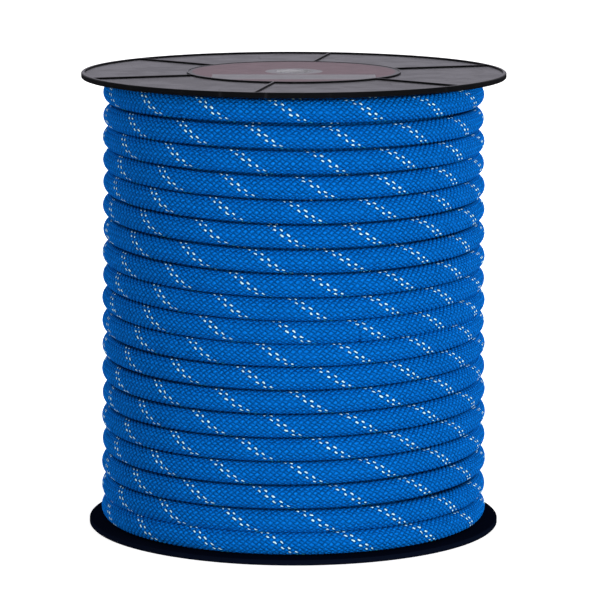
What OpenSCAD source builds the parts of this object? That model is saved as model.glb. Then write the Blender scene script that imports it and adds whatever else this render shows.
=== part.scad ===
// Climbing rope on a plastic reel.
// The reel stands on its lower flange, with its axis along Z and the origin
// in the middle of the face that it stands on. Lengths are in millimetres.

/* [Flanges] */
// Diameter of the upper flange
top_flange_d = 200; // [192:1:230]
// Diameter of the lower flange
bottom_flange_d = 195; // [190:1:230]
// Thickness of a flange at its rim
rim_t = 2.6; // [2:0.1:5]
// Width of the raised bead along the rim
bead_w = 1.6; // [1:0.1:5]
// Chamfer on the edges of the rim
rim_chamfer = 0.4; // [0.1:0.1:0.8]
// Depth of the six sunk panels in the outer face of a flange
panel_depth = 0.6; // [0.4:0.1:1.4]
// Number of radial ribs on a flange
rib_count = 6; // [3:1:12]
// Width of a radial rib
rib_w = 0.8; // [0.6:0.1:5]
// Direction of the first rib, counter-clockwise from +X
rib_angle = 19.5; // [0:0.5:60]
// Clear distance between the inner faces of the two flanges
traverse = 210.4; // [207:0.1:230]

/* [Barrel] */
// Outer diameter of the barrel tube that the rope is wound on
barrel_d = 100; // [94:1:120]
// Wall of the barrel tube
barrel_wall = 3; // [2:0.5:6]
// Radial clearance between the barrel tube and the ring that centres it
barrel_fit = 0.2; // [0.1:0.05:0.5]
// Height of the ring on a flange that centres the barrel tube
spigot_h = 10; // [5:1:25]
// Wall of the ring that centres the barrel tube
spigot_wall = 2.4; // [1.5:0.1:4]

/* [Spindle tube] */
// Bore for the spindle
arbor_bore_d = 16.5; // [10:0.5:22]
// Wall of the spindle tube
arbor_wall = 1.75; // [1:0.25:4]
// Radial clearance between the spindle tube and its bosses
arbor_fit = 0.05; // [0.02:0.01:0.2]
// Wall of the boss that holds the spindle tube
arbor_boss_wall = 3; // [2:0.5:5]
// Height of the boss that holds the spindle tube
arbor_boss_h = 12; // [6:1:25]

/* [Tie bolts] */
// Shank diameter of a tie bolt
bolt_d = 5; // [4:0.5:6]
// Distance of a tie bolt from the reel's axis
bolt_ring_r = 33; // [28:0.5:35]
// Direction of the first tie bolt, counter-clockwise from +X
bolt_angle = 50; // [0:1:120]
// Diameter of the countersunk head
bolt_head_d = 10; // [8:0.5:12]
// Width of the hexagon socket in the head
bolt_socket_w = 3; // [2:0.5:4]
// Depth of the hexagon socket in the head
bolt_socket_depth = 1.8; // [1:0.1:2.2]
// Width of a nut across its flats
nut_w = 8; // [7:0.5:11]
// Height of a nut
nut_h = 4; // [3:0.1:5]
// Radial clearance round a bolt's shank
bolt_play = 0.25; // [0.1:0.05:0.5]
// Clearance round a bolt's head, and round a nut's flats
pocket_play = 0.15; // [0.1:0.05:0.4]
// Height of a bolt boss above the inner face of a flange
bolt_boss_h = 5; // [4:0.5:12]
// Diameter of a bolt boss
bolt_boss_d = 16; // [14:0.5:20]

/* [Labels] */
// Diameter of a label
label_d = 99; // [88:1:110]
// Hole in the middle of a label
label_hole_d = 17; // [12:0.5:26]
// Thickness of a label
label_t = 0.25; // [0.1:0.05:0.35]
// Radial clearance between a label and the wall round it
label_play = 0.2; // [0.1:0.05:0.5]
// Width of the wall that stands round a label
label_frame_w = 0.7; // [0.5:0.1:3]
// Depth of the seat that a label is stuck in
label_seat_depth = 0.4; // [0.4:0.05:0.6]

/* [Rope] */
// Diameter of the rope
rope_d = 10.5; // [9:0.1:11]
// Gap between neighbouring turns of the outer layer
turn_gap = 0.5; // [0.5:0.05:1.5]
// Outer diameter of the winding at its top turn
coil_top_d = 179; // [160:1:185]
// Outer diameter of the winding at its bottom turn
coil_bottom_d = 183; // [160:1:187]
// Gap between the lower flange and the bottom turn
turn_seat_gap = 0.4; // [0.3:0.1:1]
// Least gap between the top turn and the upper flange
turn_head_gap = 0.3; // [0.3:0.1:1]
// Gap between the outer layer and the layers under it
layer_gap = 0.3; // [0.3:0.1:2]
// Gap between the inner layers and the barrel tube
barrel_gap = 0.3; // [0.3:0.1:1]
// Direction in which the step from one turn to the next is complete
cross_angle = 145; // [120:1:150]

/* [End tape] */
// Width of the tape along the turns
tape_w = 30; // [15:1:60]
// Height of the tape across the turns
tape_h = 48; // [25:1:100]
// Thickness of the tape
tape_t = 0.3; // [0.2:0.05:1]
// Gap between the tape and the crowns of the turns
tape_gap = 0.3; // [0.2:0.1:1]
// Length of rope that sticks out past the tape
tail_l = 24; // [12:1:60]

/* [Hidden] */
$fn = 96;
// A cut runs past its wall by this much
over = 1;

// Heights along the axis
inner_bottom_z = rim_t;
inner_top_z = inner_bottom_z + traverse;
total_h = inner_top_z + rim_t;
seat_top_z = total_h - label_seat_depth;

// Spindle tube and its bosses
arbor_d = arbor_bore_d + 2 * arbor_wall;
arbor_hole_d = arbor_d + 2 * arbor_fit;
arbor_boss_d = arbor_hole_d + 2 * arbor_boss_wall;

// Hub disc: the label, the play round it and the wall that frames it
label_seat_r = label_d / 2 + label_play;
hub_r = label_seat_r + label_frame_w;

// Ring that centres the barrel tube
spigot_d = barrel_d - 2 * barrel_wall - 2 * barrel_fit;

// Bolts: a 90 degree head, so its cone is as high as it is wide on one side
bolt_head_h = (bolt_head_d - bolt_d) / 2;
bolt_hole_d = bolt_d + 2 * bolt_play;
bolt_count = 3;
bolt_step = 360 / bolt_count;
nut_pocket_depth = label_seat_depth + nut_h + pocket_play;

// Outer layer: level turns, each stepping down to the next behind the reel
rings = 24;
sides = 6;
ring_step = 360 / rings;
pitch = rope_d + turn_gap;
turns = floor((traverse - turn_seat_gap - turn_head_gap - rope_d) / pitch) + 1;
bottom_turn_z = inner_bottom_z + turn_seat_gap + rope_d / 2;
top_turn_z = bottom_turn_z + (turns - 1) * pitch;
top_turn_r = (coil_top_d - rope_d) / 2;
bottom_turn_r = (coil_bottom_d - rope_d) / 2;
// Ring steps taken by the step down to the next turn, and by the climb from
// the layer below to the outer layer
cross_rings = 6;
climb_rings = 2;
// The outer end stops one ring short of the last step down
last_ring = rings * turns - cross_rings - 1;
// A chord between two rings lies this much inside the turn's circle
chord_sag = bottom_turn_r * (1 - cos(ring_step / 2));

// Layers under the outer one
layer_drop = rope_d / 2 + chord_sag + layer_gap;
core_top_r = top_turn_r - layer_drop;
core_bottom_r = bottom_turn_r - layer_drop;
core_bottom_z = inner_bottom_z + turn_seat_gap;
core_top_z = top_turn_z + rope_d / 2;
// Centre line of the layer below, where the outer layer starts
start_r = top_turn_r - pitch;
start_angle = cross_angle;
pocket_z = top_turn_z - rope_d / 2 - layer_gap;
pocket_r = start_r - rope_d / 2 - chord_sag - layer_gap;
pocket_end_angle = start_angle + (climb_rings + 1) * ring_step;

// Tape: its edge lies one tail length short of the rope's end
tail_angle = cross_angle - (cross_rings + 1) * ring_step;
tape_arc = tape_w / (bottom_turn_r + rope_d / 2) * 180 / PI;
tape_end_angle = tail_angle - (tail_l - rope_d) / bottom_turn_r * 180 / PI;
tape_r = rope_d / 2 + tape_gap;

// ---- helpers ----

// Places copies of its children round the axis, one for each tie bolt.
module at_bolt(index) {
    rotate([0, 0, bolt_angle + index * bolt_step])
        translate([bolt_ring_r, 0, 0])
            children();
}

// A tube along Z.
module tube(outer_d, inner_d, h) {
    difference() {
        cylinder(d = outer_d, h = h);
        translate([0, 0, -over])
            cylinder(d = inner_d, h = h + 2 * over);
    }
}

// ---- flanges ----

// Half section of a flange plate, outer face up: the rim with its bead, the
// sunk panel, and the hub disc with the seat for the label.
module plate_section(flange_r) {
    bead_r = flange_r - bead_w;
    c = rim_chamfer;
    polygon([
        [0, 0],
        [flange_r - c, 0],
        [flange_r, c],
        [flange_r, rim_t - c],
        [flange_r - c, rim_t],
        [bead_r, rim_t],
        [bead_r, rim_t - panel_depth],
        [hub_r, rim_t - panel_depth],
        [hub_r, rim_t],
        [label_seat_r, rim_t],
        [label_seat_r, rim_t - label_seat_depth],
        [0, rim_t - label_seat_depth],
    ]);
}

// One rib between the hub disc and the bead.
module rib(flange_r) {
    root = 0.5;
    r_in = hub_r - root;
    r_out = flange_r - bead_w + root;
    base = rim_t - panel_depth - root;
    translate([r_in, -rib_w / 2, base])
        cube([r_out - r_in, rib_w, panel_depth + root]);
}

// A flange with its outer face up at rim_t and its inner face at 0.
module flange(flange_r) {
    root = 0.5;
    difference() {
        union() {
            rotate_extrude($fn = 180)
                plate_section(flange_r);
            for (i = [0 : rib_count - 1])
                rotate([0, 0, rib_angle + i * 360 / rib_count])
                    rib(flange_r);
            translate([0, 0, -spigot_h])
                tube(spigot_d, spigot_d - 2 * spigot_wall, spigot_h + root);
            translate([0, 0, -arbor_boss_h])
                cylinder(d = arbor_boss_d, h = arbor_boss_h + root);
            for (i = [0 : bolt_count - 1])
                at_bolt(i)
                    translate([0, 0, -bolt_boss_h])
                        cylinder(d = bolt_boss_d, h = bolt_boss_h + root);
        }
        translate([0, 0, -arbor_boss_h - over])
            cylinder(d = arbor_hole_d, h = arbor_boss_h + rim_t + 2 * over);
        for (i = [0 : bolt_count - 1])
            at_bolt(i)
                translate([0, 0, -bolt_boss_h - over])
                    cylinder(d = bolt_hole_d, h = bolt_boss_h + rim_t + 2 * over);
    }
}

// The cone that lets a bolt's head sit under the label.
module head_pocket() {
    seat_z = rim_t - label_seat_depth;
    head_r = bolt_head_d / 2 + pocket_play;
    depth = head_r - bolt_hole_d / 2;
    translate([0, 0, seat_z - depth])
        cylinder(r1 = bolt_hole_d / 2, r2 = head_r, h = depth);
    translate([0, 0, seat_z])
        cylinder(r = head_r, h = over);
}

module top_flange() {
    color([0.07, 0.07, 0.08])
        translate([0, 0, inner_top_z])
            difference() {
                flange(top_flange_d / 2);
                for (i = [0 : bolt_count - 1])
                    at_bolt(i)
                        head_pocket();
            }
}

module bottom_flange() {
    pocket_w = nut_w + 2 * pocket_play;
    color([0.07, 0.07, 0.08])
        difference() {
            translate([0, 0, inner_bottom_z])
                mirror([0, 0, 1])
                    flange(bottom_flange_d / 2);
            for (i = [0 : bolt_count - 1])
                at_bolt(i)
                    translate([0, 0, -over])
                        cylinder(d = pocket_w / cos(30), h = nut_pocket_depth + over, $fn = 6);
        }
}

// ---- barrel and spindle tube ----

module barrel_tube() {
    color([0.62, 0.50, 0.37])
        translate([0, 0, inner_bottom_z])
            tube(barrel_d, barrel_d - 2 * barrel_wall, traverse);
}

module spindle_tube() {
    color([0.85, 0.85, 0.87])
        translate([0, 0, label_seat_depth])
            tube(arbor_d, arbor_bore_d, total_h - 2 * label_seat_depth);
}

// ---- tie bolts ----

module tie_bolt(index) {
    color([0.70, 0.71, 0.73])
        at_bolt(index)
            difference() {
                union() {
                    translate([0, 0, label_seat_depth])
                        cylinder(d = bolt_d, h = seat_top_z - label_seat_depth - bolt_head_h / 2);
                    translate([0, 0, seat_top_z - bolt_head_h])
                        cylinder(d1 = bolt_d, d2 = bolt_head_d, h = bolt_head_h);
                }
                translate([0, 0, seat_top_z - bolt_socket_depth])
                    cylinder(d = bolt_socket_w / cos(30), h = bolt_socket_depth + over, $fn = 6);
            }
}

module tie_nut(index) {
    color([0.70, 0.71, 0.73])
        at_bolt(index)
            translate([0, 0, label_seat_depth])
                difference() {
                    cylinder(d = nut_w / cos(30), h = nut_h, $fn = 6);
                    translate([0, 0, -over])
                        cylinder(d = bolt_d, h = nut_h + 2 * over);
                }
}

module tie_bolt_1() { tie_bolt(0); }
module tie_bolt_2() { tie_bolt(1); }
module tie_bolt_3() { tie_bolt(2); }
module tie_nut_1() { tie_nut(0); }
module tie_nut_2() { tie_nut(1); }
module tie_nut_3() { tie_nut(2); }

// ---- labels ----

module top_label() {
    color([0.54, 0.42, 0.45])
        translate([0, 0, seat_top_z])
            tube(label_d, label_hole_d, label_t);
}

module bottom_label() {
    color([0.54, 0.42, 0.45])
        translate([0, 0, label_seat_depth - label_t])
            tube(label_d, label_hole_d, label_t);
}

// ---- rope ----

// Eases from 0 to 1 with level ends.
function ease(x) = x <= 0 ? 0 : x >= 1 ? 1 : x * x * (3 - 2 * x);

// Share of the step down that a turn has made, i rings after the start.
function stepped(i) =
    let (in_turn = i % rings)
    floor(i / rings) + ease((in_turn - (rings - cross_rings)) / cross_rings);

// Height of the centre line, i rings after the start.
function turn_z(i) = top_turn_z - pitch * stepped(i);

// Radius of the centre line: the winding widens towards its bottom turn, and
// its first rings climb out of the layer below.
function turn_r(i) =
    top_turn_r + (bottom_turn_r - top_turn_r) * stepped(i) / (turns - 1)
    - (top_turn_r - start_r) * (1 - ease(i / climb_rings));

function turn_angle(i) = start_angle + i * ring_step;

function turn_point(i) =
    [turn_r(i) * cos(turn_angle(i)), turn_r(i) * sin(turn_angle(i)), turn_z(i)];

// Direction of the rope where it is cut square, level and along its circle.
function level_tangent(i) = [-sin(turn_angle(i)), cos(turn_angle(i)), 0];

function unit(v) = v / norm(v);

// Centre line: a straight piece one rope diameter long at each end.
route = [
    turn_point(0) - rope_d * level_tangent(0),
    for (i = [0 : last_ring]) turn_point(i),
    turn_point(last_ring) + rope_d * level_tangent(last_ring),
];

// Direction along the centre line at each of its points.
function along(k) =
    k <= 1 ? level_tangent(0)
    : k >= last_ring + 1 ? level_tangent(last_ring)
    : unit(route[k + 1] - route[k - 1]);

// One ring of the tube: a corner points away from the axis, and the two flat
// sides that face the neighbouring turns are one rope diameter apart.
function ring_points(k) =
    let (
        t = along(k),
        p = route[k],
        side = unit(cross(t, [p.x, p.y, 0])),
        away = cross(side, t),
        step = 360 / sides
    )
    [for (j = [0 : sides - 1])
        p + rope_d / 2 * (cos(step * j) * away + sin(step * j) / sin(step) * side)];

// Distance from point p to the straight line from a to b.
function off_line(p, a, b) =
    let (ab = b - a, share = (p - a) * ab / (ab * ab))
    norm(p - a - max(0, min(1, share)) * ab);

// Least gap between turns, from each point of the centre line to the lines
// half a turn to one and a half turns before and after it.
least_gap = min([
    for (k = [0 : len(route) - 1])
        for (m = [max(0, k - 3 * rings / 2) : min(len(route) - 2, k + 3 * rings / 2)])
            if (abs(m - k) >= rings / 2)
                off_line(route[k], route[m], route[m + 1])
]) - rope_d;
echo(least_gap = least_gap);

// Length of the centre line from point k on.
function length_from(k) =
    k > len(route) - 2 ? 0 : norm(route[k + 1] - route[k]) + length_from(k + 1);
echo(outer_layer_length = length_from(0));

module rope_outer_layer() {
    count = len(route);
    points = [for (k = [0 : count - 1]) each ring_points(k)];
    wall = [for (k = [0 : count - 2]) for (j = [0 : sides - 1])
        let (
            a = k * sides + j,
            b = k * sides + (j + 1) % sides,
            c = a + sides,
            d = b + sides
        )
        each [[a, b, c], [b, d, c]]];
    first = [for (j = [1 : sides - 2]) [0, j + 1, j]];
    base = (count - 1) * sides;
    last = [for (j = [1 : sides - 2]) [base, base + j, base + j + 1]];
    color([0.0, 0.37, 0.75])
        polyhedron(points = points, faces = concat(wall, first, last));
}

// Room for the start of the outer layer, where it climbs out of the layer
// below: a straight run for the square end, then a sector under the climb.
module climb_pocket() {
    h = core_top_z - pocket_z + over;
    depth = core_bottom_r - pocket_r + over;
    translate([0, 0, pocket_z])
        rotate([0, 0, start_angle])
            rotate_extrude(angle = pocket_end_angle - start_angle)
                translate([pocket_r, 0])
                    square([depth, h]);
    translate([0, 0, pocket_z])
        rotate([0, 0, start_angle])
            translate([pocket_r, -rope_d - layer_gap, 0])
                cube([depth + rope_d, rope_d + layer_gap + over, h]);
}

module rope_inner_layers() {
    bore_d = barrel_d + 2 * barrel_gap;
    h = core_top_z - core_bottom_z;
    color([0.0, 0.30, 0.62])
        difference() {
            translate([0, 0, core_bottom_z])
                cylinder(r1 = core_bottom_r, r2 = core_top_r, h = h);
            translate([0, 0, core_bottom_z - over])
                cylinder(d = bore_d, h = h + 2 * over);
            climb_pocket();
        }
}

// ---- tape over the outer end ----

module end_tape() {
    z0 = bottom_turn_z;
    z1 = z0 + tape_h;
    slope = (top_turn_r - bottom_turn_r) / (top_turn_z - bottom_turn_z);
    r0 = bottom_turn_r + tape_r;
    r1 = r0 + slope * tape_h;
    color([0.80, 0.81, 0.80])
        rotate([0, 0, tape_end_angle - tape_arc])
            rotate_extrude(angle = tape_arc)
                polygon([[r0, z0], [r0 + tape_t, z0], [r1 + tape_t, z1], [r1, z1]]);
}

top_flange();
bottom_flange();
barrel_tube();
spindle_tube();
tie_bolt_1();
tie_bolt_2();
tie_bolt_3();
tie_nut_1();
tie_nut_2();
tie_nut_3();
top_label();
bottom_label();
rope_inner_layers();
rope_outer_layer();
end_tape();
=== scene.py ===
"""Climbing rope wound on a plastic reel: the visual model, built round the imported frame.

Every length is in metres and every piece stands in the frame's own axes: +Z is
the reel's axis, and the origin is in the middle of the face that it stands on.
"""

import logging
import math
from dataclasses import dataclass
from enum import Enum
from typing import Callable, Sequence

import bmesh
import bpy
import numpy as np
from mathutils import Matrix


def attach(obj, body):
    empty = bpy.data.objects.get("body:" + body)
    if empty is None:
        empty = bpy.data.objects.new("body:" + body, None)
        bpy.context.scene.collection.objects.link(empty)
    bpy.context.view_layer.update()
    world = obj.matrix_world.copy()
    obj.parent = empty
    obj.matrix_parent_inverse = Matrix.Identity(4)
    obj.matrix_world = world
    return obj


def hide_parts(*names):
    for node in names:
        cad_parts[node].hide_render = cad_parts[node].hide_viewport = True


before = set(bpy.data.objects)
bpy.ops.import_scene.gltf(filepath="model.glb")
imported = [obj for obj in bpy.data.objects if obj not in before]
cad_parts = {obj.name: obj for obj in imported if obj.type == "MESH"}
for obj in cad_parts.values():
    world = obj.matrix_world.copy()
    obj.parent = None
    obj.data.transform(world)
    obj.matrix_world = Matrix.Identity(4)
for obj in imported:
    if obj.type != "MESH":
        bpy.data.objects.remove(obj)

LOG = logging.getLogger("rope_reel")
MM = 0.001
BODY = "root"
BRAID_MAP = "braid"
BAKE_MAP = "OFBake"
COLUMN = "braid_column"
ROW = "braid_row"
COARSE = 0.07  # scale of the grain's coarse noise as a share of its fine noise's
COARSE_SHARE = 0.6
SCUFF_STRETCH = 22.0
SET_APART = 37.0  # added to the first set's yarn numbers, so that the sets' tones differ

Colour = tuple[float, float, float]
Triples = tuple[tuple[float, float, float], ...]


class Slot(Enum):
    """Material slots of the record; no piece is put in them here."""

    ROPE_SHEATH = "rope_sheath"
    TAPE_FILM = "tape_film"


class Ray(Enum):
    """Kinds of ray that the surroundings answer in their own way."""

    CAMERA = "Is Camera Ray"
    GLOSSY = "Is Glossy Ray"
    TRANSMISSION = "Is Transmission Ray"


class Weave(Enum):
    """Where the sheath's material finds its place in the braid."""

    MODELLED = "uv"
    WRAPPED = "attributes"


# ---------------------------------------------------------------- node helpers


class Term:
    """A node's output; each sum or product with it adds a Math node."""

    def __init__(self, bench: "NodeBench", socket: bpy.types.NodeSocket) -> None:
        """Takes the bench that the Math nodes go on, and the output."""
        self.bench, self.socket = bench, socket

    def __add__(self, other: "Feed") -> "Term":
        """Adds."""
        return self.bench.math("ADD", self, other)

    def __sub__(self, other: "Feed") -> "Term":
        """Subtracts."""
        return self.bench.math("SUBTRACT", self, other)

    def __rsub__(self, other: "Feed") -> "Term":
        """Subtracts from a number."""
        return self.bench.math("SUBTRACT", other, self)

    def __mul__(self, other: "Feed") -> "Term":
        """Multiplies."""
        return self.bench.math("MULTIPLY", self, other)

    def __truediv__(self, other: "Feed") -> "Term":
        """Divides."""
        return self.bench.math("DIVIDE", self, other)

    def __abs__(self) -> "Term":
        """Drops the sign."""
        return self.bench.math("ABSOLUTE", self)


Feed = Term | float | int | str | bool | tuple | bpy.types.Material | None


class Outputs:
    """The outputs of a node, by name or number."""

    def __init__(self, bench: "NodeBench", node: bpy.types.Node) -> None:
        """Takes the node and its bench."""
        self.bench, self.node = bench, node

    def __getitem__(self, key: str | int) -> Term:
        """Gives one output."""
        return Term(self.bench, self.node.outputs[key])


class NodeBench:
    """Adds nodes to one tree and joins them up."""

    def __init__(self, tree: bpy.types.NodeTree) -> None:
        """Takes the shader or geometry tree that the nodes go in."""
        self.tree = tree
        self.prefix = tree.bl_idname.removesuffix("Tree")

    def add(self, kind: str | bpy.types.NodeTree, feeds: dict | None = None,
            **settings: object) -> Outputs:
        """Adds one node.

        Args:
            kind: Its type, whole or without the tree's own prefix, or a group to place.
            feeds: What goes into its sockets, by name or number.
            **settings: The node's own settings.

        Returns:
            The node's outputs.
        """
        if isinstance(kind, bpy.types.NodeTree):
            kind, settings = "Group", {"node_tree": kind}
        node = self.tree.nodes.new(kind if "Node" in kind else self.prefix + kind)
        for name, value in settings.items():
            setattr(node, name, value)
        for key, value in (feeds or {}).items():
            self.feed(node.inputs[key], value)
        return Outputs(self, node)

    def feed(self, socket: bpy.types.NodeSocket, value: Feed) -> None:
        """Links a socket, or sets its own value unless that is None.

        Args:
            socket: The socket that is fed.
            value: A term, a value, or a colour with or without its alpha.
        """
        if isinstance(value, Term):
            self.tree.links.new(value.socket, socket)
        elif value is not None:
            socket.default_value = (*value, 1.0)[:4] if socket.type == "RGBA" else value

    def math(self, operation: str, *values: Feed, clamp: bool = False) -> Term:
        """Adds a Math node.

        Args:
            operation: Its operation.
            *values: What goes into its inputs.
            clamp: Keeps the result from 0 to 1.

        Returns:
            Its result.
        """
        return self.add("ShaderNodeMath", dict(enumerate(values)), operation=operation,
                        use_clamp=clamp)[0]

    def ramp(self, value: Feed, low: float, high: float,
             start: float = 0.0, end: float = 1.0) -> Term:
        """Eases a value from one range into another.

        Args:
            value: What is eased.
            low: Where the change begins.
            high: Where the change ends.
            start: The result up to low.
            end: The result from high on.

        Returns:
            The eased value.
        """
        feeds = dict(enumerate((value, low, high, start, end)))
        return self.add("ShaderNodeMapRange", feeds, interpolation_type="SMOOTHSTEP")[0]

    def blend(self, share: Feed, first: Feed, second: Feed) -> Term:
        """Mixes two colours.

        Args:
            share: Share of the second colour.
            first: A term or a colour.
            second: A term or a colour.

        Returns:
            The mixed colour.
        """
        return self.add("Mix", {0: share, 6: first, 7: second}, data_type="RGBA")[2]

    def bump(self, height: Feed, distance: float, strength: float = 1.0,
             normal: Feed = None) -> Term:
        """Turns a height into a normal.

        Args:
            height: The height, from 0 to 1.
            distance: The height in metres at 1.
            strength: Share of the effect.
            normal: The normal that it starts from.

        Returns:
            The normal.
        """
        return self.add("Bump", {"Height": height, "Distance": distance, "Strength": strength,
                                 "Normal": normal})[0]

    def split(self, vector: Term) -> Outputs:
        """Takes a vector apart."""
        return self.add("SeparateXYZ", {0: vector})

    def choose(self, share: Feed, first: Outputs, second: Outputs) -> Outputs:
        """Mixes two shaders.

        Args:
            share: Share of the second shader.
            first: A shader.
            second: A shader.

        Returns:
            The mixed shader.
        """
        return self.add("MixShader", {0: share, 1: first[0], 2: second[0]})


def emptied(owner: bpy.types.Material | bpy.types.World) -> bpy.types.NodeTree:
    """Clears the nodes of a material or a world.

    Args:
        owner: The material or the world.

    Returns:
        Its tree.
    """
    owner.use_nodes = True
    owner.node_tree.nodes.clear()
    return owner.node_tree


def shader_group(name: str, takes: dict[str, float | None],
                 fill: Callable[[NodeBench, Outputs], dict[str, Term]]) -> bpy.types.NodeTree:
    """Makes a shader node group.

    Args:
        name: Its name.
        takes: Its inputs with their defaults; None makes a vector input.
        fill: Fills the group, given a bench and its inputs, and returns its outputs.

    Returns:
        The group.
    """
    tree = bpy.data.node_groups.new(name, "ShaderNodeTree")
    for label, default in takes.items():
        kind = "NodeSocketVector" if default is None else "NodeSocketFloat"
        socket = tree.interface.new_socket(label, in_out="INPUT", socket_type=kind)
        if default is not None:
            socket.default_value = default
    bench = NodeBench(tree)
    made = fill(bench, bench.add("NodeGroupInput"))
    for label in made:
        tree.interface.new_socket(label, in_out="OUTPUT", socket_type="NodeSocketFloat")
    bench.add("NodeGroupOutput", made)
    return tree


# ---------------------------------------------------------------- shader groups


@dataclass(frozen=True)
class FloatShape:
    """How one float is drawn, by shares of its half length and its half width."""

    # flank_shade and tip_shade: where the painted shade in the gaps between floats comes in, across
    # and along a float.
    flank_shade: tuple[float, float] = (0.25, 0.90)
    tip_shade: tuple[float, float] = (0.70, 1.0)
    gap_shade_least: float = 0.6
    gap_shade_more: float = 0.5
    bluntness: float = 3.0
    taper: float = 0.22
    marker_edge: float = 0.22
    filament_slant: float = 2.2
    crown_fall: float = 0.55


def fill_braid(b: NodeBench, takes: Outputs) -> dict[str, Term]:
    """Fills the group that finds a yarn's float from its column and row, and the painted shade in
    the gaps between floats.

    Two sets of yarns cross: along one set the column less the row stays the
    same, and along the other their sum does. Each crossing is one diamond. The
    first set, which carries the markers, is on top in odd rows.

    Args:
        b: The group's bench.
        takes: Its inputs.

    Returns:
        Its outputs by name.
    """
    shape = FloatShape()
    m, n = takes["Column"], takes["Row"]
    p, q = (m + n) * 0.5, (m - n) * 0.5
    p0, q0 = b.math("ROUND", p), b.math("ROUND", q)
    over = b.math("FLOORED_MODULO", p0 - q0, 2.0)
    under = 1.0 - over

    def either(first: Term, second: Term) -> Term:
        """Takes the first value where the first set is on top, else the second."""
        return first * over + second * under

    dp, dq = p - p0, q - q0
    along, across = either(dp, dq) * 2.0, either(dq, dp) * 2.0
    flank, tip = abs(across), abs(along)
    yarn = b.math("FLOORED_MODULO", either(q0, p0), takes["Yarns"]) + over * SET_APART
    spot = b.add("CombineXYZ", {0: p0, 1: q0})[0]
    float_tone = b.add("TexWhiteNoise", {"Vector": spot}, noise_dimensions="2D")["Value"]
    yarn_tone = b.add("TexWhiteNoise", {"W": yarn}, noise_dimensions="1D")["Value"]
    # Painted shade in the gaps between floats: dark along their flanks, weaker at their tips, and
    # more or less dark from float to float.
    flank_shade_line = b.ramp(flank, *shape.flank_shade) * takes["Flank shade"]
    tip_shade_line = b.ramp(tip, *shape.tip_shade) * takes["Tip shade"]
    lines = 1.0 - (1.0 - flank_shade_line) * (1.0 - tip_shade_line)
    gap_shade = b.math("MULTIPLY", lines, float_tone * shape.gap_shade_more + shape.gap_shade_least, clamp=True)
    blunt = 1.0 - b.math("POWER", tip / takes["Float length"], shape.bluntness)
    taper = 1.0 - along * shape.taper
    half = b.math("SQRT", b.math("MAXIMUM", blunt, 0.0)) * taper * takes["Float width"]
    place = b.math("FLOORED_MODULO", q0, takes["Marker spacing"])
    marked = b.math("LESS_THAN", place, takes["Marker yarns"])
    wave = b.math("SINE", across * takes["Filaments"] + along * shape.filament_slant)
    crown = (1.0 - flank * flank) * (1.0 - tip * tip * shape.crown_fall)
    return {"Gap": gap_shade, "Marker": marked * over * b.ramp(half - flank, 0.0, shape.marker_edge),
            "Float tone": float_tone, "Yarn tone": yarn_tone, "Filament": wave * 0.5 + 0.5,
            "Crown": crown, "First set": over}


def fill_grain(b: NodeBench, takes: Outputs) -> dict[str, Term]:
    """Fills the group for the fine unevenness of a moulded or pressed surface.

    Args:
        b: The group's bench.
        takes: Its inputs.

    Returns:
        Its outputs by name.
    """
    fine = b.add("TexNoise", {"Vector": takes["Vector"], "Scale": takes["Scale"],
                              "Detail": 3.0, "Roughness": 0.6})[0]
    coarse = b.add("TexNoise", {"Vector": takes["Vector"], "Scale": takes["Scale"] * COARSE,
                                "Detail": 2.0, "Roughness": 0.5})[0]
    return {"Height": coarse * COARSE_SHARE + fine * (1 - COARSE_SHARE),
            "Cloud": b.ramp(coarse, 0.35, 0.65)}


def fill_scuffs(b: NodeBench, takes: Outputs) -> dict[str, Term]:
    """Fills the group for fine scratches that lie in several directions.

    Args:
        b: The group's bench.
        takes: Its inputs.

    Returns:
        Its outputs by name.
    """
    masks = []
    for turn, seed in ((0.4, 0.0), (1.5, 3.7), (2.6, 8.1)):
        spun = b.add("Mapping", {"Vector": takes["Vector"], "Rotation": (0.0, 0.0, turn),
                                 "Location": (seed, seed * 0.3, 0.0)})
        long = b.add("Mapping", {"Vector": spun[0], "Scale": (1.0, SCUFF_STRETCH, 1.0)})
        noise = b.add("TexNoise", {"Vector": long[0], "Scale": takes["Scale"],
                                   "Detail": 2.0, "Distortion": 0.3})
        masks.append(b.ramp(noise[0], 0.66, 0.74))
    both = b.math("MAXIMUM", masks[0], b.math("MAXIMUM", masks[1], masks[2]))
    return {"Mask": b.math("MULTIPLY", both, takes["Amount"], clamp=True)}


def fill_dust(b: NodeBench, takes: Outputs) -> dict[str, Term]:
    """Fills the group for a thin film of dust on faces that look up.

    Args:
        b: The group's bench.
        takes: Its inputs.

    Returns:
        Its outputs by name.
    """
    up = b.split(b.add("NewGeometry")["Normal"])[2]
    noise = b.add("TexNoise", {"Vector": takes["Vector"], "Scale": 140.0,
                               "Detail": 4.0, "Roughness": 0.65})
    film = b.ramp(up, 0.3, 0.95) * b.ramp(noise[0], 0.38, 0.72)
    return {"Mask": b.math("MULTIPLY", film, takes["Amount"], clamp=True)}


class ShaderKit:
    """The shader groups that several finishes share."""

    def __init__(self) -> None:
        """Builds each group once."""
        braid = {"Column": 0.0, "Row": 0.0, "Yarns": 13.0, "Float width": 0.50,
                 "Float length": 0.84, "Marker spacing": 12.0, "Marker yarns": 1.5,
                 "Filaments": 12.0, "Flank shade": 0.80, "Tip shade": 0.55}
        self.braid = shader_group("BraidCells", braid, fill_braid)
        self.grain = shader_group("FineGrain", {"Vector": None, "Scale": 900.0}, fill_grain)
        self.scuffs = shader_group("Scuffs", {"Vector": None, "Scale": 30.0, "Amount": 1.0},
                                   fill_scuffs)
        self.dust = shader_group("DustFilm", {"Vector": None, "Amount": 0.2}, fill_dust)


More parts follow.
